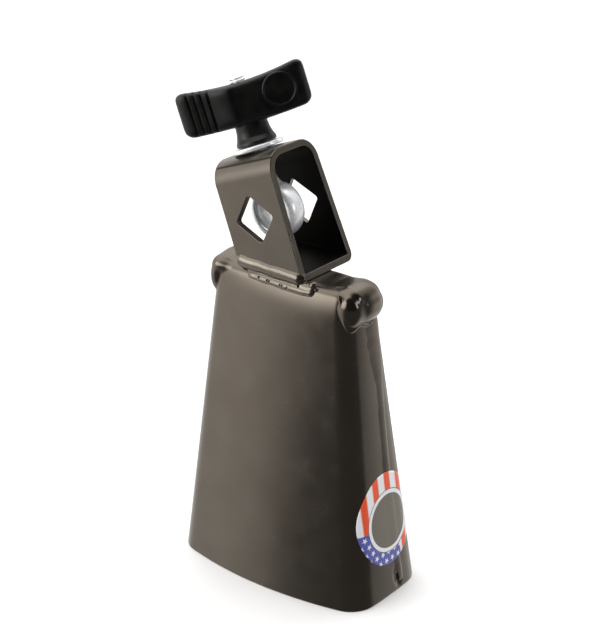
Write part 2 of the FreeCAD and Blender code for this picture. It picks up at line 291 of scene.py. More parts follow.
def grid_faces(rows, columns, closed=True, offset=0):
    """Quads of a grid whose rows run round (closed) or across."""
    faces = []
    for row in range(rows - 1):
        start = offset + row * columns
        for column in range(columns if closed else columns - 1):
            a, b = start + column, start + (column + 1) % columns
            faces.append((a, b, b + columns, a + columns))
    return faces


def loft(verts, steps, smooth=True):
    """Closed mesh through rings of steps points each, with flat caps on the first and last ring."""
    caps = [tuple(range(steps)), tuple(range(len(verts) - steps, len(verts)))]
    return face_out(mesh_of(verts, grid_faces(len(verts) // steps, steps) + caps, smooth))


def only_used(faces):
    """The points that faces use, and the faces numbered over those points alone."""
    used = sorted({i for face in faces for i in face})
    place = {old: new for new, old in enumerate(used)}
    return used, [tuple(place[i] for i in face) for face in faces]


def closed_sheet(skin, back, faces):
    """Closed mesh between a skin and its back, walled along every open edge of the skin."""
    total = len(skin)
    edges = {edge for face in faces for edge in zip(face, face[1:] + face[:1])}
    walls = [(b, a, a + total, b + total) for a, b in sorted(edges) if (b, a) not in edges]
    under = [tuple(i + total for i in reversed(face)) for face in faces]
    return face_out(mesh_of(np.concatenate([skin, back]), faces + under + walls))


def circle_points(steps):
    """Cosine and sine of each of the steps points round a circle."""
    return [(math.cos(2 * math.pi * i / steps), math.sin(2 * math.pi * i / steps)) for i in range(steps)]


def lathe(profile, steps):
    """Turn an (r, z) outline about Z. The outline is closed when its ends meet."""
    verts = [(r * c, r * s, z) for r, z in profile for c, s in circle_points(steps)]
    return face_out(mesh_of(verts, grid_faces(len(profile), steps)))


def to_bell():
    """From the bracket's own frame to the bell's."""
    return Matrix.Translation(BRACKET_FOOT) @ Matrix.Rotation(math.radians(-LEAN), 4, "Y")


def on_clamp():
    """From the upright clamp to the bell's frame: the bolt leans a little more about the eye."""
    eye = Vector((0, CROWN_DEPTH / 2, EYE_HEIGHT))
    turn = Matrix.Rotation(math.radians(-CLAMP_LEAN), 4, "Y")
    return to_bell() @ Matrix.Translation(eye) @ turn @ Matrix.Translation(-eye)


def on_bolt(turn=0.0):
    """From a piece drawn about its own axis to its place on the bolt."""
    along = Matrix.Translation((0, CROWN_DEPTH / 2, 0))
    return on_clamp() @ along @ Matrix.Rotation(math.radians(turn), 4, "Z")


# ---- materials ----
class Nodes:
    """Small builder for the node tree of a material, with lengths in millimetres, or of the world."""

    def __init__(self, owner, coordinates="Object", scale=1 / MM):
        self.owner = owner
        owner.use_nodes = True
        self.tree = owner.node_tree
        self.place = self.stretched(self.add("ShaderNodeTexCoord").outputs[coordinates], (scale,) * 3)

    def add(self, kind, inputs=None, **settings):
        node = self.tree.nodes.new(kind)
        for key, value in settings.items():
            setattr(node, key, value)
        for key, value in (inputs or {}).items():
            self.feed(value, node.inputs[key])
        return node

    def feed(self, value, socket):
        """Give a socket a number, a vector, a colour or another node's output."""
        if isinstance(value, bpy.types.NodeSocket):
            self.tree.links.new(value, socket)
        elif value is not None:
            socket.default_value = (*value, 1.0) if socket.type == "RGBA" else value

    def finish(self, **values):
        """Give the shader its values and hand back the material."""
        shader = self.tree.nodes["Principled BSDF"]
        for key, value in values.items():
            self.feed(value, shader.inputs[key.replace("_", " ")])
        return self.owner

    def stretched(self, vector, by):
        return self.add("ShaderNodeVectorMath", {0: vector, 1: by}, operation="MULTIPLY").outputs[0]

    def noise(self, size, detail=3.0, stretch=(1.0, 1.0, 1.0)):
        """Noise of about 0 to 1 with features size millimetres wide."""
        place = self.stretched(self.place, stretch)
        inputs = {"Vector": place, "Scale": 1.0 / size, "Detail": detail, "Roughness": 0.55}
        return self.add("ShaderNodeTexNoise", inputs).outputs["Fac"]

    def spots(self, size, low, high):
        """Round spots, one to a cell of the given size: 1 inside radius low, 0 beyond high."""
        node = self.add("ShaderNodeTexVoronoi", {"Vector": self.place, "Scale": 1.0 / size})
        return self.ramp(node.outputs["Distance"], low, high, 1.0, 0.0)

    def ramp(self, value, low, high, out_low=0.0, out_high=1.0):
        inputs = {"Value": value, "From Min": low, "From Max": high, "To Min": out_low, "To Max": out_high}
        return self.add("ShaderNodeMapRange", inputs, interpolation_type="SMOOTHSTEP").outputs["Result"]

    def math(self, operation, *values):
        return self.add("ShaderNodeMath", dict(enumerate(values)), operation=operation).outputs[0]

    def plus(self, a, b):
        return self.math("ADD", a, b)

    def minus(self, a, b):
        return self.math("SUBTRACT", a, b)

    def times(self, a, b):
        return self.math("MULTIPLY", a, b)

    def length(self, a, b):
        return self.math("SQRT", self.plus(self.times(a, a), self.times(b, b)))

    def mix(self, share, a, b, blend="MIX"):
        """Colour a where share is 0 and b, or its product with a, where share is 1."""
        inputs = {0: share, 6: a, 7: b}
        return self.add("ShaderNodeMix", inputs, data_type="RGBA", blend_type=blend).outputs[2]

    def bump(self, height, depth, before=None):
        """Bump whose height of 1 stands depth millimetres proud."""
        inputs = {"Height": height, "Normal": before, "Strength": 1.0, "Distance": depth * MM}
        return self.add("ShaderNodeBump", inputs).outputs["Normal"]


def lacquer(name, dark, light, roughness, peel, pits, metal, inside=False):
    """Sprayed lacquer over steel: cloudy colour, orange peel, pits under the paint and dust on it.

    It lies wetter and glossier over the folded corners of the bell."""
    n = Nodes(bpy.data.materials.new(name))
    colour = n.mix(n.ramp(n.noise(16.0, 4.0), 0.3, 0.7), dark, light)
    dust = n.times(n.spots(5.2, 0.010, 0.026), n.ramp(n.noise(9.0, 1.0), 0.54, 0.60))
    colour = n.mix(n.times(dust, 0.6), colour, (0.60, 0.57, 0.52))
    rough = n.ramp(n.noise(7.0, 5.0), 0.25, 0.75, roughness - 0.04, roughness + 0.04)
    if inside:
        # painted shade: the marked inside is coloured near-black and made duller, standing in for the shade
        # within the bracket
        painted_shade_share = n.add("ShaderNodeAttribute", attribute_name="inside").outputs["Fac"]
        colour = n.mix(painted_shade_share, colour, (0.004, 0.0035, 0.003))
        rough = n.plus(rough, n.times(painted_shade_share, 0.25))
    parts = n.add("ShaderNodeSeparateXYZ", {0: n.place})
    across = n.math("ABSOLUTE", parts.outputs["X"])
    corner = n.times(n.ramp(across, 27.0, 31.0), n.ramp(parts.outputs["Z"], 109.0, 114.0))
    rough = n.minus(rough, n.times(corner, 0.05))
    normal = n.bump(n.noise(0.9, 2.0), peel)
    normal = n.bump(n.noise(12.0, 1.0), peel * 4, normal)
    if pits:
        hollow = n.times(n.spots(1.9, 0.05, 0.14), n.ramp(n.noise(4.0, 1.0), 0.52, 0.60))
        normal = n.bump(n.minus(1.0, hollow), pits, normal)
    return n.finish(Base_Color=colour, Roughness=rough, Normal=normal, Metallic=metal)


def zinc(name, roughness, tint):
    """Bright zinc plate: fine scratches, faint clouding and small stains."""
    n = Nodes(bpy.data.materials.new(name))
    colour = n.mix(n.ramp(n.noise(3.2, 4.0), 0.3, 0.75), tint, tuple(0.82 * c for c in tint))
    stain = n.ramp(n.noise(1.4, 5.0), 0.62, 0.72)
    colour = n.mix(n.times(stain, 0.45), colour, (0.30, 0.29, 0.29))
    scratch = n.noise(0.5, 3.0, (0.25, 1.0, 6.0))
    rough = n.ramp(scratch, 0.3, 0.7, roughness - 0.07, roughness + 0.10)
    normal = n.bump(n.noise(2.4, 2.0), 0.05, n.bump(scratch, 0.012))
    return n.finish(Base_Color=colour, Roughness=rough, Normal=normal, Metallic=0.55)


def moulded(name):
    """Semi-gloss black moulding with a fine texture, handling marks and a little dust."""
    n = Nodes(bpy.data.materials.new(name))
    colour = n.mix(n.ramp(n.noise(6.0, 4.0), 0.35, 0.7), (0.0010, 0.0009, 0.0009), (0.0035, 0.0032, 0.0030))
    dust = n.times(n.spots(2.6, 0.02, 0.05), n.ramp(n.noise(5.0, 1.0), 0.52, 0.58))
    colour = n.mix(n.times(dust, 0.30), colour, (0.30, 0.27, 0.22))
    rough = n.ramp(n.noise(3.0, 5.0), 0.3, 0.7, 0.38, 0.48)
    normal = n.bump(n.noise(5.0, 1.0), 0.10, n.bump(n.noise(0.45, 2.0), 0.010))
    return n.finish(Base_Color=colour, Roughness=rough, Normal=normal, Specular_IOR_Level=0.36)


def printed_label(name):
    """Generic round print: warm stripes, a blue field with white stars, and a plain ringed disc.

    Its lengths are the label's own millimetres, from its centre: across to the right and up."""
    white, blue, red = (0.86, 0.86, 0.87), (0.105, 0.118, 0.42), (0.84, 0.105, 0.035)
    ink, disc = (0.10, 0.10, 0.13), (0.165, 0.145, 0.115)
    stripe_pitch, row_pitch, star_pitch = 7.4, 3.3, 3.8
    star_core, point_slope = 1.45 * 0.328, (0.328, 0.945)
    n = Nodes(bpy.data.materials.new(name))
    parts = n.add("ShaderNodeSeparateXYZ", {0: n.add("ShaderNodeUVMap", uv_map="label").outputs["UV"]})
    across, up = parts.outputs["X"], parts.outputs["Y"]

    def above(value, edge):
        return n.ramp(value, edge - 0.06, edge + 0.06)

    def below(value, edge):
        return n.minus(1.0, above(value, edge))

    def centred(value, pitch):
        return n.times(n.minus(n.math("FRACT", value), 0.5), pitch)

    lean = n.plus(across, n.times(up, 0.02))
    phase = n.math("FRACT", n.math("DIVIDE", n.plus(lean, 52.0), stripe_pitch))
    colour = n.mix(n.times(above(phase, 0.06), below(phase, 0.55)), white, red)
    field = n.times(below(up, -1.7), below(across, 6.6))
    colour = n.mix(field, colour, blue)
    # rows of small white stars, every second row half a step along
    row = n.math("DIVIDE", n.plus(up, 61.45), row_pitch)
    shift = n.times(n.math("FRACT", n.times(n.math("FLOOR", row), 0.5)), star_pitch)
    column = n.math("DIVIDE", n.plus(n.plus(across, 60.0), shift), star_pitch)
    down, side = centred(row, row_pitch), centred(column, star_pitch)
    away = n.length(down, side)
    fifth = n.math("DIVIDE", n.math("ARCTAN2", side, down), 2 * math.pi / 5)
    turn = n.math("ABSOLUTE", centred(fifth, 2 * math.pi / 5))
    reach = n.times(n.times(away, n.math("COSINE", turn)), point_slope[0])
    edge = n.plus(reach, n.times(n.times(away, n.math("SINE", turn)), point_slope[1]))
    colour = n.mix(n.times(field, below(edge, star_core)), colour, white)
    # the disc in the middle, its ring and the fine outlines
    radius = n.length(n.minus(across, 0.8), n.plus(up, 1.0))
    for edge, paint in ((12.9, ink), (12.6, white), (11.0, ink), (10.7, disc)):
        colour = n.mix(below(radius, edge), colour, paint)
    colour = n.mix(1.0, colour, n.ramp(n.noise(0.5, 3.0), 0.3, 0.7, 0.93, 1.0), "MULTIPLY")
    rough = n.ramp(n.noise(3.0, 3.0), 0.3, 0.7, 0.32, 0.42)
    normal = n.bump(n.noise(1.6), 0.02)
    return n.finish(Base_Color=colour, Roughness=rough, Normal=normal, Specular_IOR_Level=0.35)


def floor_paper(name):
    n = Nodes(bpy.data.materials.new(name))
    colour = n.mix(n.ramp(n.noise(60.0, 3.0), 0.3, 0.7), (0.66, 0.66, 0.66), (0.675, 0.675, 0.675))
    return n.finish(Base_Color=colour, Roughness=0.8, Specular_IOR_Level=0.1)


BELL_PAINT = lacquer("bell_lacquer", (0.098, 0.084, 0.069), (0.108, 0.094, 0.078), 0.24, 0.0025, 0.0, 0.94)
# the bracket's marked inside gets painted shade: near-black and duller
BRACKET_PAINT = lacquer("bracket_lacquer", (0.112, 0.097, 0.081), (0.126, 0.110, 0.092), 0.30, 0.004, 0.02,
                        0.93, inside=True)
WELD_PAINT = lacquer("weld_lacquer", (0.110, 0.096, 0.080), (0.135, 0.119, 0.101), 0.25, 0.005, 0.0, 0.92)
ZINC = zinc("zinc_plate", 0.32, (0.97, 0.98, 1.0))
STEEL = zinc("plain_steel", 0.32, (0.55, 0.55, 0.57))
PLASTIC = moulded("black_moulding")
LABEL = printed_label("label_print")


# ---- bell shell ----
def section_ring(z, inset, counts=(18, 14, 56)):
    """Points round the section at height z, inset from the outside, starting on the right."""
    face, side, corner, face_y, side_x, cx, cy = (float(v) for v in section_dims(np.array(z)))
    to_face = math.atan2(cy - face_y, cx)
    to_side = math.atan2(cy, cx - side_x)
    turn = math.pi
    sides, corners, faces = counts
    arcs = (
        (side_x, 0, side, -to_side, to_side, sides),
        (cx, cy, corner, to_side, to_face, corners),
        (0, face_y, face, to_face, turn - to_face, faces),
        (-cx, cy, corner, turn - to_face, turn - to_side, corners),
        (-side_x, 0, side, turn - to_side, turn + to_side, sides),
        (-cx, -cy, corner, turn + to_side, turn + to_face, corners),
        (0, -face_y, face, turn + to_face, 2 * turn - to_face, faces),
        (cx, -cy, corner, -to_face, -to_side, corners),
    )
    points = []
    for x, y, radius, start, end, count in arcs:
        angle = start + (end - start) * np.arange(count) / count
        reach = radius - inset
        points.append(np.stack([x + reach * np.cos(angle), y + reach * np.sin(angle), 0 * angle + z], 1))
    return np.concatenate(points)


def skin_rows(inset, low, ceiling, fold):
    """Rings from the rim up a skin of the bell, over the top fold and in to the middle of the top."""
    rows = [section_ring(z, inset) for z in np.linspace(low, ceiling - fold, 100)]
    for a in np.linspace(0, math.pi / 2, 9)[1:]:
        rows.append(section_ring(ceiling - fold * (1 - math.sin(a)), inset + fold * (1 - math.cos(a))))
    last = rows[-1]
    spine = np.stack([np.clip(last[:, 0], -22, 22) * 0.9, 0 * last[:, 1], last[:, 2]], 1)
    return rows + [spine + (last - spine) * share for share in np.linspace(0.93, 0.0, 16)]


def seam_line(z):
    """y of the right-hand seam at height z."""
    return 7.7 - 1.9 * np.sin(math.pi * np.clip((z - 3) / 107, 0, 1))


def burnt_hollow(y, z, spread=1.0):
    """Depth share of the burnt hollow beside the foot of the right-hand seam."""
    near = np.hypot((y - 5.0 + 0.14 * (z - 5)) / 0.95, (z - 5.2) / 2.7) / spread
    return smoothstep(1.0, 0.3, near)


def make_shell():
    outer = skin_rows(0.0, RIM, HEIGHT, TOP_FOLD)
    inner = skin_rows(SHEET, RIM, HEIGHT - SHEET, TOP_FOLD - SHEET)
    lip = [(RIM * (1 - math.sin(a)), RIM * (1 - math.cos(a))) for a in np.linspace(0, math.pi / 2, 7)[1:]]
    edge = [section_ring(z, inset) for z, inset in lip]
    edge += [section_ring(z, SHEET - inset) for z, inset in lip[::-1]]
    rings = outer[::-1] + edge + inner
    mesh = face_out(mesh_of(np.concatenate(rings), grid_faces(len(rings), len(outer[0]))))
    points, out = coords(mesh), normals(mesh)
    # hand-made sheet: shallow waves that only go inward, and nothing at the rim
    wavy = smoothstep(2.0, 22.0, points[:, 2]) * smoothstep(110.0, 92.0, points[:, 2])
    wavy *= smoothstep(0.6, 0.95, np.abs(out[:, 1]))
    wave = WAVE * wavy * (0.5 + 0.5 * np.clip(ripple(points * (1, 0.4, 1), 34.0, 3), -1, 1))
    top = smoothstep(125.4, 126.9, points[:, 2]) * smoothstep(19.0, 12.0, np.abs(points[:, 0]))
    dip = WAVE * top * (0.5 + 0.5 * np.clip(ripple(points, 11.0, 8), -1, 1))
    points = points - np.stack([out[:, 0] * wave, out[:, 1] * wave, dip], 1)
    right = (points[:, 0] > 30) & (out[:, 0] > 0.5)
    points[:, 0] -= BURNT_DEPTH * right * burnt_hollow(points[:, 1], points[:, 2], 1.8)
    set_coords(mesh, points)
    return mesh


# ---- blended lumps on the bell: folds and seams ----
def march(field, origin, rays, far):
    """Outermost crossing of a field along rays from an inside point."""
    reach = np.full(len(rays), far)
    for _ in range(110):
        reach = np.maximum(reach - 0.7 * np.maximum(field(origin + rays * reach[:, None]), 0), 0.5)
    return reach


def lump(field, origin, far=26.0, detail=6, sunk=0.05, back_sunk=0.35):
    """Closed lump where the field stands proud of the bell, with edges that run out to nothing.

    Its skin starts a hair inside the bell, so that it comes out of the sheet along a smooth line."""
    work = bmesh.new()
    bmesh.ops.create_icosphere(work, subdivisions=detail, radius=1.0)
    rays = np.array([v.co for v in work.verts])
    triangles = [[v.index for v in f.verts] for f in work.faces]
    work.free()
    origin = np.array(origin, float)
    outer = march(field, origin, rays, far)
    inner = march(bell_field, origin, rays, far)
    proud = outer - inner
    keep = [t for t in triangles if max(proud[i] for i in t) > 0.005 and min(outer[i] for i in t) > 0.6]
    used, keep = only_used(keep)
    skin = origin + rays[used] * (outer[used] - sunk)[:, None]
    back = origin + rays[used] * (inner[used] - back_sunk)[:, None]
    return closed_sheet(skin, back, keep)


def smooth_path(points, steps):
    """The points of a curve run smoothly through the given ones."""
    p = np.array([points[0], *points, points[-1]], float)
    out = []
    for i in range(1, len(p) - 2):
        for t in np.arange(steps) / steps:
            out.append(0.5 * (2 * p[i] + (p[i + 1] - p[i - 1]) * t
                              + (2 * p[i - 1] - 5 * p[i] + 4 * p[i + 1] - p[i + 2]) * t ** 2
                              + (3 * p[i] - 3 * p[i + 1] + p[i + 2] - p[i - 1]) * t ** 3))
    return out + [p[-1]]


# the crimped lower lip of the right-hand fold, from its front edge round to the rear
RIGHT_LIP = ((28.4, -9.2, 125.9), (29.7, -9.7, 122.8), (30.8, -9.9, 118.3), (32.0, -9.4, 114.3),
             (33.2, -7.7, 112.5), (33.8, -3.7, 113.7), (34.1, 0.7, 112.3), (33.9, 5.0, 113.0),
             (32.6, 8.8, 115.4))


def right_fold_field(p):
    top = 0.6 + 6.4 * smoothstep(119.0, 126.0, p[:, 2]) * smoothstep(-9.5, -4.0, p[:, 1])
    dome = ellipsoid_field(p, (30.7, 3.6, 119.0), (6.1, 8.6, 6.9))
    saddle = ellipsoid_field(p, (31.2, -2.0, 119.4), (4.7, 6.0, 6.3))
    thumb = ellipsoid_field(p, (31.2, -6.6, 119.4), (4.6, 4.2, 7.0))
    lobes = smooth_min(smooth_min(dome, saddle, 3.4), thumb, 2.6) + 0.05 * ripple(p, 5.0, 21, 1)
    rim = smooth_path(RIGHT_LIP, 4)
    for start, end in zip(rim, rim[1:]):
        lobes = smooth_min(lobes, capsule_field(p, start, end, 0.55), 0.5)
    return smooth_min(bell_field(p), lobes, top)


def left_fold_field(p):
    q = p * (-1, 1, 1)
    top = 0.8 + 6.0 * smoothstep(120.0, 126.0, p[:, 2])
    dome = ellipsoid_field(q, (31.4, 1.0, 119.6), (4.3, 11.0, 8.0))
    flap = ellipsoid_field(q, (31.5, -7.6, 119.8), (3.3, 3.4, 6.9))
    lobes = smooth_min(dome, flap, 2.0) + 0.07 * ripple(p, 4.5, 22, 1)
    f = smooth_min(bell_field(p), lobes, top)
    groove = capsule_field(q, (30.4, -12.3, 124.6), (31.2, -12.4, 115.4), 0.9)
    return -smooth_min(-f, groove, 0.5)


def seam_profile(across):
    """Height share of the seam: a slow rise from the front and a quicker fall behind its crest."""
    return smoothstep(-8.0, -0.2, across) * smoothstep(2.3, -0.2, across)


def seam_mesh(widths, heights, seed, hollow=0.0):
    """Weld bead down a narrow face, its edges sunk in the sheet. Its sizes are for the foot and the top."""
    columns, rows = 57, 320
    low, high = SEAM_ENDS
    zs = np.linspace(low, high, rows)
    rng = np.random.default_rng(seed)
    wander = np.cumsum(rng.normal(size=rows)) * 0.012
    wander = np.convolve(wander - np.linspace(wander[0], wander[-1], rows), np.ones(9) / 9, "same")
    share = smoothstep(84, 104, zs)
    past = np.maximum(0, np.abs(zs - (low + high) / 2) - (high - low) / 2 + 1.5) / 1.5
    ripples = ripple(np.stack([zs, zs * 0, zs * 0 + seed], 1), 4.0, seed)
    half = (widths[0] + (widths[1] - widths[0]) * share) * (1 + 0.06 * ripples)
    height = (heights[0] + (heights[1] - heights[0]) * share) * (1 + 0.15 * ripples)
    height *= np.sqrt(np.clip(1 - past, 0, 1))
    across, half = np.meshgrid(np.linspace(-8.2, 2.5, columns), half)
    z = np.repeat(zs[:, None], columns, 1)
    y = seam_line(z) + wander[:, None] + across * half
    lift = height[:, None] * seam_profile(across) - 0.06 - hollow * burnt_hollow(y, z)
    skin = np.stack([side_surface(y, z) + lift, y, z], 2).reshape(-1, 3)
    return closed_sheet(skin, skin - (0.45, 0, 0), grid_faces(rows, columns, closed=False))


# ---- label ----
def make_label():
    """Thin disc wrapped over the narrow face, its corners and the seam, with its own flat coordinates."""
    rings, spokes = 56, 192
    flat = [(0.0, 0.0)]
    for ring in range(1, rings + 1):
        flat += [(ring / rings * c, ring / rings * s) for c, s in circle_points(spokes)]
    flat = np.array(flat)
    y, z = (np.array(LABEL_AT) + flat * LABEL_HALF).T
    seam = 0.10 * seam_profile((y - seam_line(z)) / 0.62)
    edge = 0.10 * smoothstep(0.985, 1.0, np.hypot(flat[:, 0], flat[:, 1]))
    skin = side_surface(y, z) + LABEL_LIFT + seam - edge
    face = np.stack([skin, y, z], 1)
    faces = [(0, 1 + s, 1 + (s + 1) % spokes) for s in range(spokes)]
    mesh = closed_sheet(face, face - (0.35, 0, 0), faces + grid_faces(rings, spokes, offset=1))
    # distances along the sheet, so that the print isn't stretched over the corners
    points = coords(mesh)
    steps = np.linspace(-24, 24, 961)
    spread = np.zeros(len(points))
    levels = np.round(points[:, 2])
    for level in np.unique(levels):
        line = side_surface(steps, np.full(len(steps), level))
        length = np.concatenate([[0], np.cumsum(np.hypot(np.diff(line), np.diff(steps)))])
        length -= np.interp(LABEL_AT[0], steps, length)
        chosen = levels == level
        spread[chosen] = np.interp(points[chosen, 1], steps, length)
    layer = mesh.uv_layers.new(name="label")
    loops = np.zeros(len(mesh.loops), int)
    mesh.loops.foreach_get("vertex_index", loops)
    layer.data.foreach_set("uv", np.stack([spread[loops], points[loops, 2] - LABEL_AT[1]], 1).ravel())
    return mesh


# ---- bracket ----
def arc(across, up, radius, start, end, steps):
    """Points of an arc about a centre from one angle to another, in degrees, both ends included."""
    angles = np.radians(np.linspace(start, end, steps + 1))
    return [(across + radius * math.cos(a), up + radius * math.sin(a)) for a in angles]


def strap_outline(inset, low):
    """Side outline of the strap as (y, z) points, from the front foot over the crown to the rear foot."""
    splay = (FOOT_DEPTH - CROWN_DEPTH) / CROWN_HEIGHT
    tilt = math.atan(splay)
    step = inset / math.cos(tilt)
    rear_top = CROWN_DEPTH + splay * inset - step
    rear_low = CROWN_DEPTH + splay * (CROWN_HEIGHT - low) - step
    radius = BEND - inset
    centre = CROWN_HEIGHT - inset - radius
    reach = radius * math.tan((math.pi / 2 - tilt) / 2)
    return [(inset, low), *arc(inset + radius, centre, radius, 180, 90, 16),
            *arc(rear_top - reach, centre, radius, 90, math.degrees(tilt), 16), (rear_low, low)]


def prism(outline, width, matrix):
    """Extrude a (y, z) outline along X and place it."""
    mesh = loft([(x, y, z) for x in (-width / 2, width / 2) for y, z in outline], len(outline), False)
    mesh.transform(matrix)
    return mesh


def block(low, high, half=120):
    """Box about the Z axis, much wider than the bracket."""
    outline = [(-half, low), (half, low), (half, high), (-half, high)]
    return prism(outline, 2 * half, Matrix.Identity(4))


def window_outline(corner=1.2):
    """Square on its corner with small rounded corners, as (x, z) points."""
    reach = WINDOW / 2 - corner
    points = []
    for turn, (x, z) in zip((0, 90, 180, 270), ((1, 1), (-1, 1), (-1, -1), (1, -1))):
        points += arc(x * reach, z * reach, corner, turn, turn + 90, 6)
    half_turned = math.sqrt(0.5)
    return [((x - z) * half_turned, (x + z) * half_turned + WINDOW_HEIGHT) for x, z in points]


def round_rear_foot(strap):
    """Round the rear plate's outer edge where it meets the bell's top."""
    work = bmesh.new()
    work.from_mesh(strap)
    rear = max(v.co.y for v in work.verts)
    foot = [edge for edge in work.edges
            if all(abs(v.co.z - HEIGHT) < 0.01 and v.co.y > rear - 1.5 for v in edge.verts)
            and abs(edge.verts[0].co.x - edge.verts[1].co.x) > 5]
    bmesh.ops.bevel(work, geom=foot, offset=3.6, segments=8, profile=0.5, affect="EDGES")
    work.to_mesh(strap)
    work.free()


def mark_painted_shade_inside(strap):
    """Mark the inside of the strap, seen in its own upright frame, where the paint gets painted shade."""
    points = coords(strap)
    upright = np.array(to_bell().inverted())
    x, y, z = (points @ upright[:3, :3].T + upright[:3, 3]).T
    rear = CROWN_DEPTH - STRAP + (FOOT_DEPTH - CROWN_DEPTH) / CROWN_HEIGHT * (CROWN_HEIGHT - z)
    within = (y > STRAP - 0.25) & (y < rear + 0.25) & (z < CROWN_HEIGHT - STRAP + 0.25)
    within &= (points[:, 2] > HEIGHT + 1.0) & (np.abs(x) < STRAP_WIDTH / 2 - 0.2)
    strap.attributes.new("inside", "FLOAT", "POINT").data.foreach_set("value", within.astype(np.float32))


def make_bracket():
    outer = prism(strap_outline(0.0, -20.0), STRAP_WIDTH, to_bell())
    outer = cut(outer, block(HEIGHT - 60, HEIGHT))
    round_rear_foot(outer)
    inner = prism(strap_outline(STRAP, -20.0), STRAP_WIDTH + 60, to_bell())
    strap = cut(outer, cut(inner, block(HEIGHT - 60, HEIGHT + STRAP)))
    outline = window_outline()
    window = loft([(x, y, z) for y in (-10, 50) for x, z in outline], len(outline), False)
    window.transform(to_bell())
    hole = lathe([(0.001, 30), (CROWN_HOLE, 30), (CROWN_HOLE, 60), (0.001, 60)], 48)
    hole.transform(to_bell() @ Matrix.Translation((0, CROWN_DEPTH / 2, 0)))
    strap = cut(cut(strap, window), hole)
    strap.shade_smooth()
    strap = modified(
        strap,
        ("BEVEL", {"width": 0.42, "segments": 3, "limit_method": "ANGLE", "angle_limit": math.radians(38),
                   "harden_normals": False, "use_clamp_overlap": True}),
        ("WEIGHTED_NORMAL", {"keep_sharp": False, "weight": 100}),
    )
    mark_painted_shade_inside(strap)
    return strap


# ---- welds ----
def bead(start, end, radius, flatten, seed, swell=0.10):
    """Rounded weld bead along a line, its size and place swelling gently as weld metal does."""
    start, end = np.array(start), np.array(end)
    length = np.linalg.norm(end - start)
    along = (end - start) / length
    share = 0.5 - 0.5 * np.cos(np.linspace(0.03, math.pi - 0.03, int(length / 0.35) + 12))
    track = np.stack([share * length, share * 0, share * 0 + 7.0 * seed], 1)
    sizes = radius * (1 + swell * ripple(track, 4.0, seed))
    cap = np.minimum(np.minimum(share, 1 - share) * length / radius, 1.0)
    sizes *= np.sqrt(1 - (1 - cap) ** 2)
    wander = ripple(track, 5.0, seed + 1, 1), ripple(track, 6.5, seed + 2, 1)
    centres = start + (end - start) * share[:, None] + 0.20 * np.stack([0 * share, *wander], 1)
    across = np.cross(along, (0, 1, 0))
    across /= np.linalg.norm(across)
    out = np.cross(along, across) * flatten[0]
    across *= flatten[1]
    steps = 40
    verts = [centre + size * (out * c + across * s)
             for centre, size in zip(centres, sizes) for c, s in circle_points(steps)]
    return loft(verts, steps)


def front_surface(x, z):
    """y of the bell's front edge and, above it, of the bracket's front plate."""
    face, _, _, face_y, *_ = section_dims(z)
    rise = np.clip(z - HEIGHT + TOP_FOLD, 0, TOP_FOLD)
    inset = TOP_FOLD - np.sqrt(TOP_FOLD ** 2 - rise ** 2)
    return -np.maximum(face_y + np.sqrt((face - inset) ** 2 - x ** 2), -BRACKET_FOOT[1])


def weld_run(x, z, start, end, half, height, seed, edge=0.75, wander=0.18):
    """Height of one run of weld laid from start to end, an (x, z) each, with rounded ends."""
    track = np.stack([x, 0 * x, 0 * x + 9.0 * seed], 1)
    middle = np.interp(x, (start[0], end[0]), (start[1], end[1])) + wander * ripple(track, 5.0, seed, 2)
    across = (z - middle) / (half * (1 + 0.07 * ripple(track, 5.0, seed + 1, 1)))
    past = np.maximum(0, np.abs(x - (start[0] + end[0]) / 2) - (end[0] - start[0]) / 2 + half) / half
    left = 1 - across ** 2 - past ** 2
    return height * (1 + 0.09 * ripple(track, 5.5, seed + 2, 1)) * np.sign(left) * np.abs(left) ** edge


BLOW_HOLES = ((-8.6, 124.9), (-4.4, 124.7), (-3.4, 124.6), (2.0, 124.4), (3.1, 124.3), (5.4, 124.1),
              (10.4, 125.8))


def make_front_weld():
    """A full run along the plate's foot, a flatter one below it on the bell's edge, and its blow holes."""
    xs, zs = np.linspace(-21.5, 20.0, 300), np.linspace(120.5, 133.0, 96)
    x, z = (grid.ravel() for grid in np.meshgrid(xs, zs))
    upper = weld_run(x, z, (-20.2, 129.2), (12.0, 128.2), 2.5, 1.6, 31)
    lower = weld_run(x, z, (-15.0, 125.7), (17.8, 124.7), 2.2, 0.62, 34, 1.0, 0.30)
    lower *= 1 + 0.8 * smoothstep(2.0, 14.0, x)
    height = -smooth_min(-upper, -lower, 0.3) + 0.02 * ripple(np.stack([x, 0 * x, z], 1), 1.8, 38)
    for hole_x, hole_z in BLOW_HOLES:
        height -= 0.75 * smoothstep(0.55, 0.2, np.hypot(x - hole_x, z - hole_z))
    skin = np.stack([x, front_surface(x, z) - np.maximum(height, -0.3), z], 1)
    faces = [face for face in grid_faces(len(zs), len(xs), closed=False) if max(height[list(face)]) > -0.25]
    used, faces = only_used(faces)
    return closed_sheet(skin[used], skin[used] * (1, 0, 1) + (0, -8.0, 0), faces)


def make_drip():
    return run_together((
        bead((15.4, -8.5, 128.4), (16.9, -9.3, 125.4), 1.7, (1.0, 1.0), 36, 0.02),
        bead((16.2, -9.0, 126.0), (18.8, -8.9, 125.2), 1.1, (1.0, 1.0), 37, 0.02),
    ), 0.16, 6)


def make_rear_weld():
    return run_together((
        bead((-17.6, 10.8, 126.4), (9.6, 10.8, 126.4), 2.4, (0.8, 1.0), 41),
        bead((-10.5, 11.1, 125.6), (4.5, 11.1, 125.6), 2.0, (0.65, 0.95), 42),
    ), 0.26, 7)


# ---- clamp ----
def signed_power(value, exponent):
    """Squares off a circle's sine or cosine when the exponent is under 1."""
    return math.copysign(abs(value) ** exponent, value)


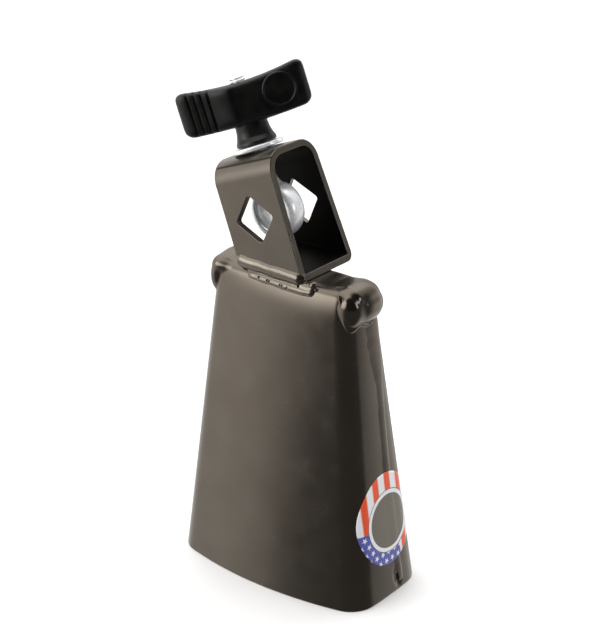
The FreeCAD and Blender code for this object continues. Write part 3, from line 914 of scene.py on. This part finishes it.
def make_thread(low, high, steps=56, rows_a_turn=12):
    """Shank from low to high with one helical groove that fades in at the foot, and a chamfered end."""
    rows = int((high - low) / PITCH * rows_a_turn)
    verts = []
    for row in range(rows + 1):
        z = low + (high - low) * row / rows
        fade = min(1.0, (z - low) / 1.5)
        tip = max(0.0, z - (high - 0.8)) * 0.85
        for i, (c, s) in enumerate(circle_points(steps)):
            phase = (z / PITCH - i / steps) % 1.0
            groove = 0.62 * min(1.0, max(0.0, abs(phase - 0.5) * 2 - 0.10) / 0.78) * fade
            radius = SHANK - max(groove, tip)
            verts.append((radius * c, radius * s, z))
    return loft(verts, steps)


def make_eye_bolt():
    """Forged eye with a threaded shank, about its own axis."""
    shank = SHANK - 0.05
    neck = lathe([(0.001, EYE_HEIGHT + 7.5), (5.4, EYE_HEIGHT + 7.6), (4.4, EYE_HEIGHT + 10.4),
                  (3.5, EYE_HEIGHT + 12.2), (shank, 36.2), (shank, 37.2), (0.001, 37.2)], 48)
    middle, reach = (EYE_RADIUS + EYE_BORE) / 2, (EYE_RADIUS - EYE_BORE) / 2
    profile = [(middle + reach * signed_power(c, 0.75), EYE_THICKNESS / 2 * signed_power(s, 0.62))
               for c, s in circle_points(40)]
    eye = lathe(profile + profile[:1], 112)
    eye.transform(Matrix.Translation((0, 0, EYE_HEIGHT)) @ Matrix.Rotation(math.pi / 2, 4, "X"))
    bolt = run_together([eye, neck], 0.3, 6, 0.5)
    # the remesh draws the bore in a little, so it is pushed back to size
    points = coords(bolt) - (0, 0, EYE_HEIGHT)
    radial = np.hypot(points[:, 0], points[:, 2])
    push = np.where((radial < EYE_BORE) & (radial > 0.1), EYE_BORE / np.maximum(radial, 0.1), 1.0)
    points[:, [0, 2]] *= push[:, None]
    set_coords(bolt, points + (0, 0, EYE_HEIGHT))
    bolt = joined([bolt, make_thread(36.0, SHANK_TOP)])
    bolt.transform(on_bolt())
    return bolt


def make_washer():
    bore, rim, corner = 3.6, 9.9, 0.4
    low, high = WASHER_LOW + corner, WASHER_LOW + WASHER - corner
    profile = []
    for r, z, turn in ((rim - corner, high, 0), (bore + corner, high, 90), (bore + corner, low, 180),
                       (rim - corner, low, 270)):
        profile += arc(r, z, corner, turn, turn + 90, 5)
    washer = lathe(profile + profile[:1], 128)
    # stamped: edge a hair uneven
    points = coords(washer)
    angle = np.arctan2(points[:, 1], points[:, 0])
    outward = smoothstep(5, rim, np.hypot(points[:, 0], points[:, 1]))
    points[:, 2] -= 0.05 * (1 + np.sin(2 * angle)) * outward
    set_coords(washer, points)
    washer.transform(on_bolt())
    return washer


def wing_half_thickness(place):
    """Half thickness of the wings' front: it flares to a crease beside the hub, then runs on thinner."""
    flare = 3.1 + 0.9 * smoothstep(-26, -8, place) + 2.4 * smoothstep(-15, -3.6, place)
    plain = 3.2 + 2.7 * smoothstep(26, -4, place)
    return flare + (plain - flare) * smoothstep(-4.2, -2.2, place)


def make_wings(columns=170, rows=72, corner=3.8, taper=5.2):
    """Two wings in one bowed bar with rounded ends, its front and rear alike when turned about."""
    verts = []
    half = WING_SPAN / 2
    for u in np.linspace(-half, half, columns):
        bow = 1 - (u / half) ** 2
        # the section gets lower over the last corner's length and thinner over the taper
        near_tip = max(0.0, (abs(u) - (half - corner)) / corner)
        near_end = max(0.0, (abs(u) - (half - taper)) / taper)
        shrink = 3.4 * (1 - math.sqrt(max(0.0, 1 - near_tip ** 2)))
        thin = 1 - (1 - math.sqrt(max(0.0, 1 - near_end ** 2.3))) * 0.9
        low, high = WING_LOW - 1.2 * bow + shrink, WING_HIGH - 2.65 * bow - shrink
        for c, s in circle_points(rows):
            depth = wing_half_thickness(u if s > 0 else -u) * thin
            z = (low + high + (high - low) * signed_power(c, 0.28)) / 2
            verts.append((u, -depth * signed_power(s, 0.55), z))
    return loft(verts, rows)


def make_hub(steps=144):
    """Round foot that narrows to the wings, hollowed in front and behind."""
    verts = []
    for z, r in ((0.0, 7.7), (0.5, 7.9), (1.4, 7.8), (3.0, 7.1), (5.0, 6.6), (7.0, 6.4), (8.8, 6.2),
                 (11.4, 5.9), (13.4, 5.2), (15.0, 4.6), (22.0, 4.4), (24.0, 4.3)):
        depth = 1.25 * smoothstep(0.8, 3.0, z) * smoothstep(11.5, 8.5, z)
        for c, s in circle_points(steps):
            reach = r - depth * (1 - abs(c) ** 1.5)
            verts.append((reach * c, reach * s, NUT_LOW + z))
    return loft(verts, steps)


def make_wing_nut():
    """Moulded wings and lobed hub, run together, then the grip grooves and the plain badge rings."""
    grip = run_together([make_wings(), make_hub()], 0.22, 7, 0.55)
    points, out = coords(grip), normals(grip)
    for side in (-1, 1):
        flat = smoothstep(0.75, 0.95, out[:, 1] * side)
        facing = smoothstep(0.1, 0.5, out[:, 1] * side)
        for place in GRIP_GROOVES:
            away = np.abs(points[:, 0] + side * place)
            points[:, 1] -= side * facing * GROOVE_DEPTH * smoothstep(0.62, 0.22, away)
        away = np.hypot(points[:, 0] + side * BADGE_AT[0], points[:, 2] - BADGE_AT[1]) - BADGE_RADIUS
        points[:, 1] += side * flat * BADGE_HEIGHT * smoothstep(0.50, 0.16, np.abs(away))
    set_coords(grip, points)
    bore = lathe([(0.001, NUT_LOW - 3), (4.9, NUT_LOW - 3), (4.9, NUT_LOW + 11), (3.6, NUT_LOW + 11),
                  (3.6, NUT_LOW + 30), (0.001, NUT_LOW + 30)], 64)
    grip = cut(grip, bore)
    grip.shade_smooth()
    grip.transform(on_bolt(WING_TURN))
    return grip


# ---- build every piece ----
right_fold = lump(right_fold_field, (27.0, 0.0, 118.5))
left_fold = lump(left_fold_field, (-27.0, 0.0, 118.5))
right_seam = seam_mesh((0.62, 1.2), (0.30, 0.48), 11, 1.1)
left_seam = seam_mesh((0.62, 1.1), (0.30, 0.45), 12)
left_seam.transform(Matrix.Scale(-1, 4, (1, 0, 0)))
left_seam.flip_normals()
front_weld = joined([make_front_weld(), make_drip()])
add_piece("shell", make_shell(), "bell", ["bell_shell"], BELL_PAINT)
add_piece("fold_right", right_fold, "bell", ["corner_fold_right"], BELL_PAINT)
add_piece("fold_left", left_fold, "bell", ["corner_fold_left"], BELL_PAINT)
add_piece("seam_right", right_seam, "bell", ["side_seam_right"], BELL_PAINT)
add_piece("seam_left", left_seam, "bell", ["side_seam_left"], BELL_PAINT)
add_piece("label", make_label(), "bell", ["round_label"], LABEL)
add_piece("bracket", make_bracket(), "bell", ["mount_bracket"], BRACKET_PAINT)
add_piece("weld_front", front_weld, "bell", ["foot_weld_front"], WELD_PAINT)
add_piece("weld_rear", make_rear_weld(), "bell", ["foot_weld_rear"], WELD_PAINT)
add_piece("bolt", make_eye_bolt(), "clamp_bolt", ["eye_bolt"], ZINC)
add_piece("washer", make_washer(), "washer", ["flat_washer"], ZINC)
add_piece("wing_nut", make_wing_nut(), "wing_nut", ["wing_nut_grip"], PLASTIC)

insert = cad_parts["wing_nut_insert"]
insert.data.materials.clear()
insert.data.materials.append(STEEL)


# ---- floor, light and camera ----
FLOOR_HALF = 6.0      # metres


def add_floor():
    corners = [(x * FLOOR_HALF, y * FLOOR_HALF, 0) for x, y in ((-1, -1), (1, -1), (1, 1), (-1, 1))]
    floor = new_object("floor", mesh_of(corners, [(0, 1, 2, 3)], smooth=False))
    floor.data.materials.append(floor_paper("floor_paper"))
    floor.visible_glossy = floor.visible_diffuse = floor.visible_shadow = False


def add_light(name, place, target, size, power, colour=(1, 1, 1), glossy=False):
    data = bpy.data.lights.new(name, "AREA")
    data.shape = "RECTANGLE"
    data.size, data.size_y = size
    data.energy = power
    data.color = colour
    light = new_object(name, data)
    light.location = place
    light.rotation_euler = (Vector(target) - Vector(place)).to_track_quat("-Z", "Y").to_euler()
    light.visible_camera = False
    light.visible_glossy = glossy


def heading(azimuth, elevation):
    """Unit vector towards an azimuth from +X and an elevation, in degrees."""
    a, e = math.radians(azimuth), math.radians(elevation)
    return (math.cos(a) * math.cos(e), math.sin(a) * math.cos(e), math.sin(e))


def add_world():
    """Pale studio on the left and behind, an unlit room towards the front right and one low soft box."""
    world = bpy.data.worlds.new("studio")
    bpy.context.scene.world = world
    n = Nodes(world, "Generated", 1.0)

    def towards(azimuth, elevation, low, high, out_low, out_high):
        """A smooth change of strength with the angle from a direction, between two cosines."""
        inputs = {0: n.place, 1: heading(azimuth, elevation)}
        dot = n.add("ShaderNodeVectorMath", inputs, operation="DOT_PRODUCT").outputs["Value"]
        return n.ramp(dot, low, high, out_low, out_high)

    # the unlit room, then brighter overhead and dimmer behind, below and towards the right
    studio = towards(-38, 0, -0.122, 0.309, 1.0, 0.0)
    for change in ((0, 90, 0.40, 0.78, 1.5, 2.6), (115, -5, 0.8, 0.95, 1.0, 0.45),
                   (0, -90, 0.21, 0.42, 1.0, 0.66), (42, 24, 0.72, 0.94, 1.0, 0.45)):
        studio = n.times(studio, towards(*change))
    low_box = towards(-119, 18, 0.905, 0.978, 0.0, 4.2)
    table = towards(0, -90, -0.04, 0.14, 0.0, 0.15)
    lit = n.tree.nodes["Background"]
    n.feed((1.0, 0.985, 0.96), lit.inputs["Color"])
    n.feed(n.plus(n.plus(studio, low_box), table), lit.inputs["Strength"])
    seen = n.add("ShaderNodeBackground", {"Color": (1, 1, 1), "Strength": 1.0})
    by_camera = n.add("ShaderNodeLightPath").outputs["Is Camera Ray"]
    mix = n.add("ShaderNodeMixShader", {0: by_camera, 1: lit.outputs[0], 2: seen.outputs[0]})
    n.feed(mix.outputs[0], n.tree.nodes["World Output"].inputs["Surface"])


def add_camera():
    azimuth, elevation, roll = 38.71, 23.31, math.radians(-0.65)
    distance, target_right, target_high = 657.5, 2.68, 105.69
    back = Vector(heading(azimuth - 90, elevation))
    level = Vector(heading(azimuth, 0))
    target = level * target_right + Vector((0, 0, target_high))
    upright = back.cross(level)
    right = level * math.cos(roll) + upright * math.sin(roll)
    up = upright * math.cos(roll) - level * math.sin(roll)
    data = bpy.data.cameras.new("camera")
    data.sensor_width = 36.0
    data.lens = 95.73
    data.clip_start, data.clip_end = 0.02, 30.0
    camera = new_object("camera", data)
    place = Matrix.Translation((target + back * distance) * MM)
    camera.matrix_world = place @ Matrix((right, up, back)).transposed().to_4x4()
    bpy.context.scene.camera = camera


add_floor()
add_world()
add_light("overhead", (-0.10, 0.10, 1.1), (0, 0, 0.05), (1.0, 1.0), 9.0)
add_light("label_fill", (1.0, -0.5, 0.5), (0, 0, 0.05), (0.5, 0.5), 6.5)
add_light("right_spark", (0.76, 0.26, 0.34), (0.03, 0, 0.14), (0.16, 0.30), 0.8,
          (0.90, 0.93, 1.0), glossy=True)
add_camera()
bpy.context.scene.view_settings.view_transform = "Standard"
